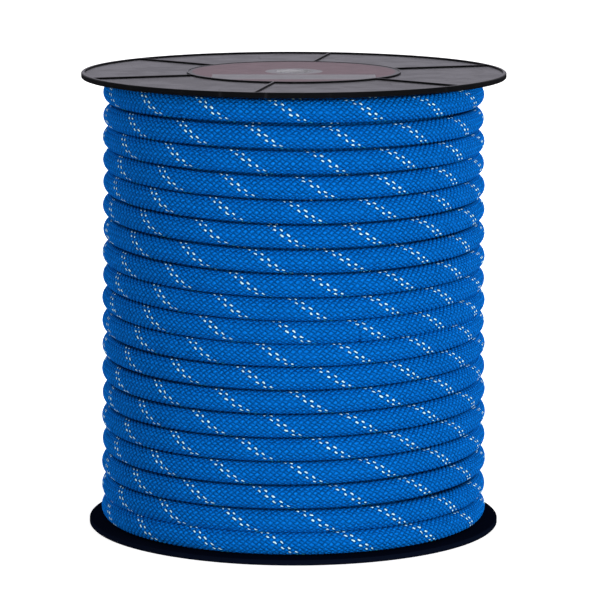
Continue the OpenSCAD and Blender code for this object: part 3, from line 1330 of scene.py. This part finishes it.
@dataclass
class RopeSheath:
    """The braided sheath of the outer layer, with each crossing modelled.

    Its bake map packs the braid into strips, each of which has the outer rows
    below and the inner rows above, with margins round both.
    """

    route: RopeRoute
    braid: Braid
    pieces: int = 4
    relief_row: int = 8
    crown_r: float = 5.43 * MM
    saddle_r: float = 5.20 * MM
    pit_r: float = 4.93 * MM
    inner_r: float = 5.10 * MM
    crest: float = 0.27
    pull: float = 0.14
    inner_rows: tuple[int, ...] = (11, 13, 15)
    bake_strips: int = 9
    bake_margin: float = 2.0
    bake_outer: tuple[float, float] = (0.03, 0.75)
    bake_inner: tuple[float, float] = (0.78, 0.19)

    def build(self, material: bpy.types.Material) -> list[bpy.types.Object]:
        """Makes the pieces of the sheath, end to end.

        Args:
            material: The sheath's material.

        Returns:
            The pieces, from the rope's start to its end.
        """
        places, columns = self.braid.columns(self.route)
        first, last = self.ends(columns)
        span = (last - first) / self.pieces
        cuts = [first + 2 * round(span * i / 2) for i in range(self.pieces)] + [last]
        made = []
        for number, (low, high) in enumerate(zip(cuts, cuts[1:]), start=1):
            piece = self.stretch(f"rope_sheath_{number}", low, high, places, columns)
            dress(piece, material)
            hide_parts("rope_outer_layer")
            made.append(piece)
        return made

    def ends(self, columns: np.ndarray) -> tuple[int, int]:
        """First and last column, odd numbers that leave room for the braid's twist."""
        return math.ceil(columns[0] + 1.0) | 1, (math.floor(columns[-1] - 1.0) - 1) | 1

    def stretch(self, name: str, low: int, high: int, places: np.ndarray,
                columns: np.ndarray) -> bpy.types.Object:
        """Makes one closed piece of sheath.

        Args:
            name: Its name.
            low: The column where it starts, an odd number.
            high: The column where it ends, an odd number.
            places: Places along the route.
            columns: The column number at each place.

        Returns:
            The piece.
        """
        lattice = Lattice(low, high, self)
        column, row, radius = lattice.vertices()
        triangles, spots = lattice.faces()
        phi = row * math.tau / self.braid.rows
        t = np.interp(column + self.braid.twist * np.sin(phi), columns, places)
        centre, _, side, away = self.route.frames(t)
        round_it = np.cos(phi)[:, None] * away + np.sin(phi)[:, None] * side
        piece = triangle_mesh(name, centre + radius[:, None] * round_it, triangles)
        base = self.braid.repeat * (low // self.braid.repeat)
        maps = {BRAID_MAP: spots - np.array([base, 0.0]),
                BAKE_MAP: self.bake_places(spots, low, high)}
        for label, corners in maps.items():
            layer = piece.data.uv_layers.new(name=label, do_init=False)
            layer.uv.foreach_set("vector", corners.astype(np.float32).ravel())
        piece.data.uv_layers.active = piece.data.uv_layers[BRAID_MAP]
        return piece

    def bake_places(self, spots: np.ndarray, low: int, high: int) -> np.ndarray:
        """Packs the braid's own map into one square, as strips above each other.

        Args:
            spots: Column and row of each corner of each triangle.
            low: First column.
            high: Last column.

        Returns:
            U and V for each corner.
        """
        column, row = spots.T
        width = (high - low) / self.bake_strips
        middle = spots.reshape(-1, 3, 2).mean(axis=1)[:, 0]
        strip = np.clip(np.floor((middle - low) / width), 0, self.bake_strips - 1).repeat(3)
        u = (column - low - strip * width + self.bake_margin) / (width + 2.0 * self.bake_margin)
        edge = self.relief_row
        outer = (row + edge) / (2.0 * edge)
        inner = (row - edge) / (self.braid.rows - 2.0 * edge)
        v = np.where(row <= edge, self.bake_outer[0] + self.bake_outer[1] * outer,
                     self.bake_inner[0] + self.bake_inner[1] * inner)
        return np.stack([u, (strip + v) / self.bake_strips], axis=-1)


class Lattice:
    """Vertices and triangles of a stretch of sheath, by column and row.

    Each crossing has a pit on its west, south, east and north, a saddle between
    each two pits, and the two crests of the yarn on top.
    """

    def __init__(self, low: int, high: int, sheath: RopeSheath) -> None:
        """Lays the vertices and the triangles.

        Args:
            low: First column.
            high: Last column.
            sheath: The sheath, with its sizes.
        """
        self.sheath, self.edge = sheath, sheath.relief_row
        self.parts: list[np.ndarray] = []
        self.tris: list[np.ndarray] = []
        self.count = 0
        columns = np.arange(low, high + 1)
        self.lay_inner(columns, self.lay_relief(columns))

    def grid(self, column: np.ndarray, row: np.ndarray, radius: float,
             keep: np.ndarray | None = None) -> np.ndarray:
        """Adds vertices.

        Args:
            column: Their column numbers.
            row: Their row numbers.
            radius: Their distance from the rope's centre line.
            keep: Which of them are made; None makes all.

        Returns:
            The vertex number at each place of the grid, or -1.
        """
        keep = np.ones(column.shape, dtype=bool) if keep is None else keep
        made = int(keep.sum())
        numbers = np.full(keep.shape, -1, dtype=np.int64)
        numbers[keep] = self.count + np.arange(made)
        self.parts.append(np.stack([column[keep], row[keep], np.full(made, radius)]))
        self.count += made
        return numbers

    def put(self, *faces: tuple[np.ndarray, ...], mask: np.ndarray | slice = slice(None)) -> None:
        """Adds triangles of three corners each, where the mask is true."""
        self.tris += [np.stack([corner[mask] for corner in face], axis=-1) for face in faces]

    def lay_relief(self, m: np.ndarray) -> np.ndarray:
        """Lays the crossings, and the halves of crossings at the edges and ends.

        Args:
            m: Column numbers.

        Returns:
            The vertex numbers of the pits.
        """
        s, n = self.sheath, np.arange(-self.edge, self.edge + 1)
        c, r = np.meshgrid(m, n, indexing="ij")
        odd = (c + r) % 2 == 1
        pit = self.grid(c, r, s.pit_r, odd)
        falls, rises = np.zeros_like(odd), np.zeros_like(odd)
        falls[:-1, :-1] = odd[:-1, :-1]
        rises[:-1, 1:] = odd[:-1, 1:]
        pull = np.where(r % 2 == 1, 0.5, -0.5) * s.pull
        fall = self.grid(c + 0.5 + pull, r + 0.5 - pull, s.saddle_r, falls)
        rise = self.grid(c + 0.5 + pull, r - 0.5 + pull, s.saddle_r, rises)
        i, j = (inside + 1 for inside in np.nonzero(~odd[1:-1, 1:-1]))
        first = (j - self.edge) % 2 == 1
        lean = np.where(first, s.crest, -s.crest)
        c1 = self.grid(m[i] - s.crest, n[j] - lean, s.crown_r)
        c2 = self.grid(m[i] + s.crest, n[j] + lean, s.crown_r)
        west, south, east, north = pit[i - 1, j], pit[i, j - 1], pit[i + 1, j], pit[i, j + 1]
        sw, ne, se, nw = rise[i - 1, j], rise[i, j + 1], fall[i, j - 1], fall[i - 1, j]
        self.put((west, sw, c1), (sw, south, c1), (east, ne, c2), (ne, north, c2),
                 (south, se, c1), (se, c2, c1), (se, east, c2),
                 (north, nw, c2), (nw, c1, c2), (nw, west, c1), mask=first)
        self.put((north, nw, c1), (nw, west, c1), (south, se, c2), (se, east, c2),
                 (west, sw, c1), (sw, c2, c1), (sw, south, c2),
                 (east, ne, c2), (ne, c1, c2), (ne, north, c1), mask=~first)
        i, j = (np.nonzero(~line)[0] + 1 for line in (odd[1:-1, 0], odd[0, 1:-1]))
        for a, b, c, e1, e2 in (
                (pit[0, j - 1], pit[1, j], pit[0, j + 1], fall[0, j - 1], rise[0, j + 1]),
                (pit[-1, j - 1], pit[-2, j], pit[-1, j + 1], rise[-2, j], fall[-2, j]),
                (pit[i - 1, 0], pit[i, 1], pit[i + 1, 0], fall[i - 1, 0], rise[i, 1]),
                (pit[i - 1, -1], pit[i, -2], pit[i + 1, -1], rise[i - 1, -1], fall[i, -2])):
            self.put((a, e1, c), (e1, e2, c), (e1, b, e2))
        return pit

    def lay_inner(self, m: np.ndarray, pit: np.ndarray) -> None:
        """Lays the plain strips that face the layer below, and both ends.

        Args:
            m: Column numbers.
            pit: The vertex numbers of the pits.
        """
        c, r = np.meshgrid(m[::2], self.sheath.inner_rows, indexing="ij")
        inner = self.grid(c, r, self.sheath.inner_r)
        lines = [pit[::2, -1], *inner.T, pit[::2, 0]]
        for low, high in zip(lines, lines[1:]):
            self.put((low[:-1], low[1:], high[1:]), (low[:-1], high[1:], high[:-1]))
        for column in (0, -1):
            ring = np.concatenate([pit[column][pit[column] >= 0], inner[column]])
            pair = [ring, np.roll(ring, -1)]
            if column == 0:
                pair.reverse()
            middle = self.grid(m[[column]], np.zeros(1), 0.0).repeat(len(ring))
            self.put((*pair, middle))

    def vertices(self) -> np.ndarray:
        """Column, row and radius of every vertex."""
        return np.concatenate(self.parts, axis=1)

    def faces(self) -> tuple[np.ndarray, np.ndarray]:
        """Turns the triangles' outer sides out, apart from the ends', which already are.

        Returns:
            The triangles, and the column and row of each corner, which run on
            past the last row where a triangle crosses from it to the first.
        """
        triangles = np.concatenate(self.tris)
        place = self.vertices()[:2].T[triangles]
        low_rows = place[:, :, 1] <= -self.edge
        wraps = (place[:, :, 1].max(axis=1) > self.edge) & low_rows.any(axis=1)
        place[:, :, 1] += self.sheath.braid.rows * (wraps[:, None] & low_rows)
        a, b, c = place[:, 0], place[:, 1], place[:, 2]
        flip = (b - a)[:, 0] * (c - a)[:, 1] - (b - a)[:, 1] * (c - a)[:, 0] > 0
        flip[-2 * len(self.tris[-1]):] = False
        triangles[flip] = triangles[flip][:, [0, 2, 1]]
        place[flip] = place[flip][:, [0, 2, 1]]
        return triangles, place.reshape(-1, 2)


def wound_tube(name: str, lines: Sequence[np.ndarray], radius: float, sides: int,
               material: bpy.types.Material) -> bpy.types.Object:
    """Makes a piece of round tubes that hold their column and row in the braid.

    Args:
        name: The piece's name.
        lines: The tubes' centre lines.
        radius: Their radius.
        sides: Their number of sides.
        material: Their material.

    Returns:
        The piece.
    """
    braid = Braid()
    b = GeometryTree(f"{name}_tubes", {"Radius": radius, "Sides": sides,
                                       "Column length": braid.half_step,
                                       "Rows": float(braid.rows)})
    curve = b.add("MeshToCurve", {"Mesh": b.entry["Geometry"]})[0]
    upright = b.add("SetCurveNormal", {"Curve": curve}, mode="Z_UP")[0]
    ring = b.add("CurvePrimitiveCircle", {"Resolution": b.entry["Sides"],
                                          "Radius": b.entry["Radius"]})[0]
    run = b.add("SplineParameter")
    numbered = {COLUMN: (upright, run["Length"] / b.entry["Column length"]),
                ROW: (ring, run["Factor"] * b.entry["Rows"])}
    path, profile = (
        b.add("StoreNamedAttribute", {"Geometry": line, "Name": label, "Value": number},
              data_type="FLOAT", domain="POINT")[0] for label, (line, number) in numbered.items())
    tube = b.add("CurveToMesh", {"Curve": path, "Profile Curve": profile, "Fill Caps": True})
    b.close(tube[0], material)
    return b.run(line_piece(name, lines))


@dataclass
class RopeCore:
    """The rope's core of twisted strands."""

    route: RopeRoute
    core_r: float = 4.55 * MM
    sides: int = 12
    length: float = 10.02
    station_step: float = 0.5
    tucked: float = 0.25

    def path(self) -> np.ndarray:
        """Finds the centres of the tube's rings.

        Returns:
            The points; the first one is tucked into the sheath.
        """
        stations = self.route.stations(self.station_step)
        stations[0] += self.tucked
        return self.route.centre(stations)

    def build(self, material: bpy.types.Material) -> bpy.types.Object:
        """Makes the core as a tube along the route.

        Args:
            material: The strands' material.

        Returns:
            The core.
        """
        piece = wound_tube("rope_core", [self.path()], self.core_r, self.sides, material)
        dress(piece, material)
        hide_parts("rope_outer_layer")
        return piece

    def declare(self) -> None:
        """Finds the core's path, and does nothing more with it.
        """
        path = self.path()


@dataclass
class RopeCutEnd:
    """The rope's outer end, cut with a hot knife: a fused collar and the strands' ends.

    The collar's profile holds, in millimetres, how far each ring lies past the
    cut and its radius. A wave is its swell, its lobes and its turn from ring to ring.
    """

    route: RopeRoute
    strands: int = 14
    strand_r: float = 0.95 * MM
    strand_sizes: tuple[float, float] = (0.8, 1.1)
    strand_seed: int = 7
    strand_depth: float = 0.75 * MM
    spread: float = 3.6 * MM
    sides: int = 40
    profile: tuple[tuple[float, float], ...] = (
        (-4.6, 4.90), (-3.4, 5.20), (-2.6, 5.46), (-1.6, 5.52), (-0.8, 5.36),
        (-0.25, 5.00), (0.0, 4.55), (-0.1, 4.20), (-0.5, 3.95), (-0.7, 2.0))
    waves: Triples = ((0.012, 5, 1), (0.010, 9, -2))

    def cut(self) -> tuple[np.ndarray, ...]:
        """Centre, direction, side and outward direction where the rope is cut."""
        stop = self.route.last_ring + self.route.overhang()
        return tuple(x[0] for x in self.route.frames(np.array([stop])))

    def collar(self, material: bpy.types.Material) -> bpy.types.Object:
        """Lathes the fused collar along the rope's own direction.

        Args:
            material: The fused sheath's material.

        Returns:
            The collar.
        """
        centre, along, side, away = self.cut()
        phi = np.linspace(0.0, math.tau, self.sides, endpoint=False)
        ring = np.cos(phi)[:, None] * away + np.sin(phi)[:, None] * side
        rows = []
        for step, (x, r) in enumerate(self.profile):
            swell = sum((by * np.sin(lobes * phi + turn * step) for by, lobes, turn in self.waves),
                        start=1.0)
            rows.append(centre + x * MM * along + (r * MM * swell)[:, None] * ring)
        middles = [centre + self.profile[end][0] * MM * along for end in (0, -1)]
        k, last = self.sides, len(self.profile) - 1
        j = np.arange(k)
        nxt = (j + 1) % k
        tris = []
        for first in range(0, last * k, k):
            a, c = first + j, first + nxt
            tris += [np.stack([a, a + k, c], -1), np.stack([c, a + k, c + k], -1)]
        back = (last + 1) * k
        tris.append(np.stack([j, nxt, np.full(k, back)], -1))
        tris.append(np.stack([last * k + nxt, last * k + j, np.full(k, back + 1)], -1))
        piece = triangle_mesh("rope_end_collar", np.concatenate([*rows, middles]),
                              np.concatenate(tris))
        outward(piece)
        dress(piece, material)
        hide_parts("rope_outer_layer")
        return piece

    def strand_ends(self, material: bpy.types.Material) -> bpy.types.Object:
        """Sets the ends of the core's strands in a sunflower spiral over the cut face.

        Args:
            material: The strands' material.

        Returns:
            The strand ends.
        """
        b = GeometryTree("StrandEnds", {"Count": self.strands, "Spread": self.spread,
                                        "Strand radius": self.strand_r,
                                        "Golden angle": math.pi * (3 - math.sqrt(5))})
        index = b.add("InputIndex")[0]
        reach = b.math("SQRT", (index + 0.5) / b.entry["Count"]) * b.entry["Spread"]
        angle = index * b.entry["Golden angle"]
        spot = b.add("ShaderNodeCombineXYZ", {0: reach * b.math("COSINE", angle),
                                              1: reach * b.math("SINE", angle)})[0]
        points = b.add("Points", {"Count": b.entry["Count"], "Position": spot})[0]
        ball = b.add("MeshIcoSphere", {"Radius": b.entry["Strand radius"], "Subdivisions": 3})[0]
        low, high = self.strand_sizes
        size = b.add("FunctionNodeRandomValue", {2: low, 3: high, "Seed": self.strand_seed},
                     data_type="FLOAT")[1]
        put = b.add("InstanceOnPoints", {"Points": points, "Instance": ball, "Scale": size})[0]
        b.close(put, material)
        piece = b.run(line_piece("rope_end_strands", [np.zeros((2, 3))]))
        centre, along, side, away = self.cut()
        start = centre - self.strand_depth * along
        piece.data.transform(standing(start, away, side, np.cross(away, side)))
        dress(piece, material)
        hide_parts("rope_outer_layer")
        return piece


@dataclass
class InnerWinding:
    """The three layers of rope under the outer one, wound tight on the barrel."""

    route: RopeRoute
    radii: tuple[float, ...] = (73.25 * MM, 64.40 * MM, 55.65 * MM)
    widen: tuple[float, ...] = (2.0 * MM, 1.1 * MM, 0.0)
    raised: tuple[float, ...] = (0.0, -5.5 * MM, 0.0)
    turns: tuple[int, ...] = (19, 18, 19)
    left_out: float = 0.3
    level_share: float = 0.75
    rope_r: float = 5.22 * MM
    sides: int = 16
    per_turn: int = 60

    def layer(self, number: int) -> np.ndarray:
        """Finds points of one layer's centre line, from its top end down.

        Args:
            number: The layer, from 0 next to the outer one.

        Returns:
            The points.
        """
        t = np.arange(0, (self.turns[number] - self.left_out) * self.per_turn) / self.per_turn
        step = (np.mod(t, 1.0) - self.level_share) / (1.0 - self.level_share)
        stepped = np.floor(t) + ease(step)
        r = self.radii[number] + self.widen[number] * stepped / (self.route.turns - 1)
        z = self.route.top_z + self.raised[number] - self.route.pitch * stepped
        way = -1.0 if number % 2 == 0 else 1.0
        angle = self.route.start_angle + way * t * math.tau
        return np.stack([r * np.cos(angle), r * np.sin(angle), z], axis=-1)

    def build(self, material: bpy.types.Material) -> bpy.types.Object:
        """Makes the layers as one piece.

        Args:
            material: The material of wrapped sheath.

        Returns:
            The winding.
        """
        lines = [self.layer(number) for number in range(len(self.radii))]
        piece = wound_tube("rope_inner_winding", lines, self.rope_r, self.sides, material)
        dress(piece, material)
        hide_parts("rope_inner_layers")
        return piece


@dataclass
class EndTape:
    """Strapping tape pressed over the last turns, with saw-cut ends."""

    route: RopeRoute
    width: float = 30.0 * MM
    low_z: float = 8.25 * MM
    high_z: float = 56.25 * MM
    stop_angle: float = math.radians(31.03)
    crown_r: float = 5.58 * MM
    sag: float = 1.1 * MM
    sag_power: float = 1.5
    slope: float = 2.0 * MM
    crease: float = 0.12 * MM
    crease_rates: tuple[float, float] = (240.0, 900.0)
    thickness: float = 0.22 * MM
    across: int = 40
    down: int = 96
    teeth: int = 20
    tooth_depth: float = 1.6 * MM
    end_share: float = 0.04
    turns_under: int = 6
    samples: int = 200

    def build(self, material: bpy.types.Material) -> bpy.types.Object:
        """Makes the tape as a sheet that follows the crowns of the turns.

        Args:
            material: The tape's material.

        Returns:
            The tape.
        """
        route, last = self.route, self.route.turns - 1
        arc = self.width / (route.bottom_r + self.crown_r)
        angles = np.linspace(self.stop_angle - arc, self.stop_angle, self.across + 1)
        tooth = np.abs((np.arange(self.across + 1) * self.teeth / self.across) % 1.0 - 0.5)
        cut = (tooth - 0.25) * self.tooth_depth
        level = np.linspace(last + 1.0, last - self.turns_under, self.samples)
        heights = [route.turn_z(level) + route.lift(level, angle) for angle in angles]
        round_rate, up_rate = self.crease_rates
        rows = []
        for share in np.linspace(0.0, 1.0, self.down + 1):
            z = self.low_z + share * (self.high_z - self.low_z)
            z = z + (cut * (1 - share) * (share < self.end_share)
                     + cut * (share > 1.0 - self.end_share))
            turn = np.array([np.interp(high, held, level) for high, held in zip(z, heights)])
            dip = 0.5 - 0.5 * np.cos(math.tau * turn)
            lift = (turn - last) / last * self.slope
            crease = self.crease * np.sin(angles * round_rate + z * up_rate) * dip
            r = route.bottom_r + self.crown_r + lift - self.sag * dip ** self.sag_power + crease
            rows.append(np.stack([r * np.cos(angles), r * np.sin(angles), z], axis=-1))
        k = self.across + 1
        a = (np.arange(self.down)[:, None] * k + np.arange(self.across)[None, :]).ravel()
        tris = np.concatenate([np.stack([a, a + 1, a + k + 1], -1),
                               np.stack([a, a + k + 1, a + k], -1)])
        piece = triangle_mesh("end_tape_strip", np.concatenate(rows), tris)
        wall = piece.modifiers.new("wall", "SOLIDIFY")
        wall.thickness, wall.offset = self.thickness, 1.0
        settle(piece)
        outward(piece)
        dress(piece, material)
        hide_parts("end_tape")
        return piece


# ---------------------------------------------------------------- reel


@dataclass
class Reel:
    """The reel's own parts, whose CAD shapes stay, under their finishes."""

    parts: tuple[tuple[Finish, tuple[str, ...]], ...] = (
        (ReelPlasticFinish(), ("top_flange",)),
        # Bottom flange: its navy tint is a painted reflection, a bluish sheen painted into its
        # colour while its specular is off.
        (ReelPlasticFinish(name="reel_black_matt_painted_sheen", colour=(0.0022, 0.0036, 0.0095),
                           specular=0.0, scuffing=0.03, dusting=0.0), ("bottom_flange",)),
        (LabelFinish(), ("top_label", "bottom_label")),
        (BoltSteelFinish(), ("tie_bolt_1", "tie_bolt_2", "tie_bolt_3",
                             "tie_nut_1", "tie_nut_2", "tie_nut_3")),
        (BoardFinish(), ("barrel_tube",)),
        (TubePlasticFinish(), ("spindle_tube",)))

    def dress(self, kit: ShaderKit) -> None:
        """Gives each part its finish.

        Args:
            kit: The shared shader groups.
        """
        for finish, nodes in self.parts:
            material = finish.material(kit)
            for node in nodes:
                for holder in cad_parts[node].material_slots:
                    holder.material = material
                LOG.info("%s: dressed in %s", node, finish.name)


# ---------------------------------------------------------------- studio


@dataclass(frozen=True)
class Lamp:
    """One soft box: where it hangs round the reel, its size and its power."""

    name: str
    bearing: float
    height: float
    watts: float
    distance: float = 2.3
    size: float = 0.9

    def build(self, target: tuple[float, float, float]) -> bpy.types.Object:
        """Hangs the lamp and turns it to the target.

        Args:
            target: The point that it looks at.

        Returns:
            The lamp.
        """
        data = bpy.data.lights.new(self.name, "AREA")
        data.shape, data.size, data.energy = "DISK", self.size, self.watts
        turn = math.radians(self.bearing)
        place = np.array([self.distance * math.sin(turn), -self.distance * math.cos(turn),
                          self.height])
        ahead = unit(np.array(target) - place)
        right = unit(np.cross(ahead, [0.0, 0.0, 1.0]))
        lamp = linked(self.name, data)
        lamp.matrix_world = standing(place, right, np.cross(right, ahead), -ahead)
        lamp.visible_glossy = False
        return lamp


@dataclass
class Studio:
    """A pale floor, soft lamps at the object's own level and a pale surround.

    A lamp's bearing is in degrees to the right of the camera. The horizon and the
    dome are given by directions between which their light changes.
    """

    target: tuple[float, float, float] = (0.0, 0.0, 0.11)
    ambient: float = 0.46
    ambient_top: float = 0.25
    horizon: float = 0.42
    horizon_tint: Colour = (0.91, 0.875, 1.0)
    horizon_up: tuple[float, float] = (0.25, 0.55)
    horizon_back: tuple[float, float] = (-0.1, 0.4)
    dome: tuple[float, float] = (0.0, 0.8)
    white: Colour = (1.0, 1.0, 1.0)
    floor_size: float = 12.0
    floor_white: tuple[float, float] = (0.09, 0.22)
    floor_glow: tuple[float, float] = (0.70, 1.0)
    floor_paint: float = 0.86
    floor_bounced: float = 0.45
    floor_mirrored: float = 0.02
    lamps: tuple[Lamp, ...] = (
        Lamp("key", 39.0, 0.30, 57.0),
        Lamp("fill", -48.0, 0.30, 25.0),
        Lamp("back_right", 140.0, 0.60, 24.0),
        Lamp("back_left", -140.0, 0.60, 24.0),
    )

    def build(self) -> None:
        """Builds the floor, the lamps and the surround."""
        self.floor()
        for lamp in self.lamps:
            lamp.build(self.target)
        self.surround()
        bpy.context.scene.view_settings.view_transform = "Standard"

    def floor(self) -> None:
        """Lays the floor: white to the camera, with the shadow, and dark in reflections."""
        half = self.floor_size / 2
        mesh = bpy.data.meshes.new("floor")
        mesh.from_pydata([(-half, -half, 0), (half, -half, 0), (half, half, 0), (-half, half, 0)],
                         [], [(0, 1, 2, 3)])
        material = bpy.data.materials.new("floor_pale")
        mesh.materials.append(material)
        b = NodeBench(emptied(material))
        place = b.add("TexCoord")["Object"]
        far = b.add("VectorMath", {0: place}, operation="LENGTH")["Value"]
        glow = b.add("Emission", {"Color": self.white,
                                  "Strength": b.ramp(far, *self.floor_white, *self.floor_glow)})
        paint, bounced, dark = (
            b.add("BsdfDiffuse", {"Color": (grey, grey, grey)})
            for grey in (self.floor_paint, self.floor_bounced, self.floor_mirrored))
        lit = b.add("AddShader", {0: paint[0], 1: glow[0]})
        rays = b.add("LightPath")
        shown = b.choose(rays[Ray.CAMERA.value], bounced, lit)
        b.add("OutputMaterial", {"Surface": b.choose(rays[Ray.GLOSSY.value], shown, dark)[0]})
        floor = linked("floor", mesh)

    def surround(self) -> None:
        """Sets the surround: white to the camera, a pale band behind the reel in reflections."""
        world = bpy.data.worlds.new("surround")
        bpy.context.scene.world = world
        b = NodeBench(emptied(world))
        rays = b.add("LightPath")
        ahead = b.split(b.add("TexCoord")["Generated"])
        band = (b.ramp(ahead[2], *self.horizon_up, self.horizon, 0.0)
                * b.ramp(ahead[1], *self.horizon_back))
        mirrored = b.add("Background", {"Color": self.horizon_tint, "Strength": band})
        seen = b.add("Background", {"Color": self.white, "Strength": 1.0})
        above = b.ramp(ahead[2], *self.dome, self.ambient, self.ambient_top)
        soft = b.add("Background", {"Color": self.white, "Strength": above})
        shine = b.math("MAXIMUM", rays[Ray.GLOSSY.value], rays[Ray.TRANSMISSION.value])
        shown = b.choose(rays[Ray.CAMERA.value], b.choose(shine, soft, mirrored), seen)
        b.add("OutputWorld", {"Surface": shown[0]})


# ---------------------------------------------------------------- whole model


def main() -> None:
    """Builds the camera, the rope, the reel's finishes and the studio, in that order."""
    logging.basicConfig(level=logging.INFO, format="%(name)s: %(message)s")
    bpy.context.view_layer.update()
    Shot().build()

    kit = ShaderKit()
    route = RopeRoute()
    strand = StrandFinish().material(kit)
    core_maker = RopeCore(route)
    core = core_maker.build(strand)
    pieces = RopeSheath(route, Braid()).build(SheathFinish().material(kit))
    cut_end = RopeCutEnd(route)
    collar = cut_end.collar(FusedFinish().material(kit))
    strands = cut_end.strand_ends(strand)
    core_maker.declare()

    # The layers underneath get neither the painted crevice shade nor the painted shade on their
    # markers.
    wrapped = SheathFinish(name="sheath_under", weave=Weave.WRAPPED, crown_height=0.45 * MM,
                           crevice_shade_depth=0.0, tucked=SheathFinish.marker)
    InnerWinding(route).build(wrapped.material(kit))
    EndTape(route).build(TapeFinish().material(kit))
    Reel().dress(kit)
    Studio().build()


if __name__ == "__main__":
    main()
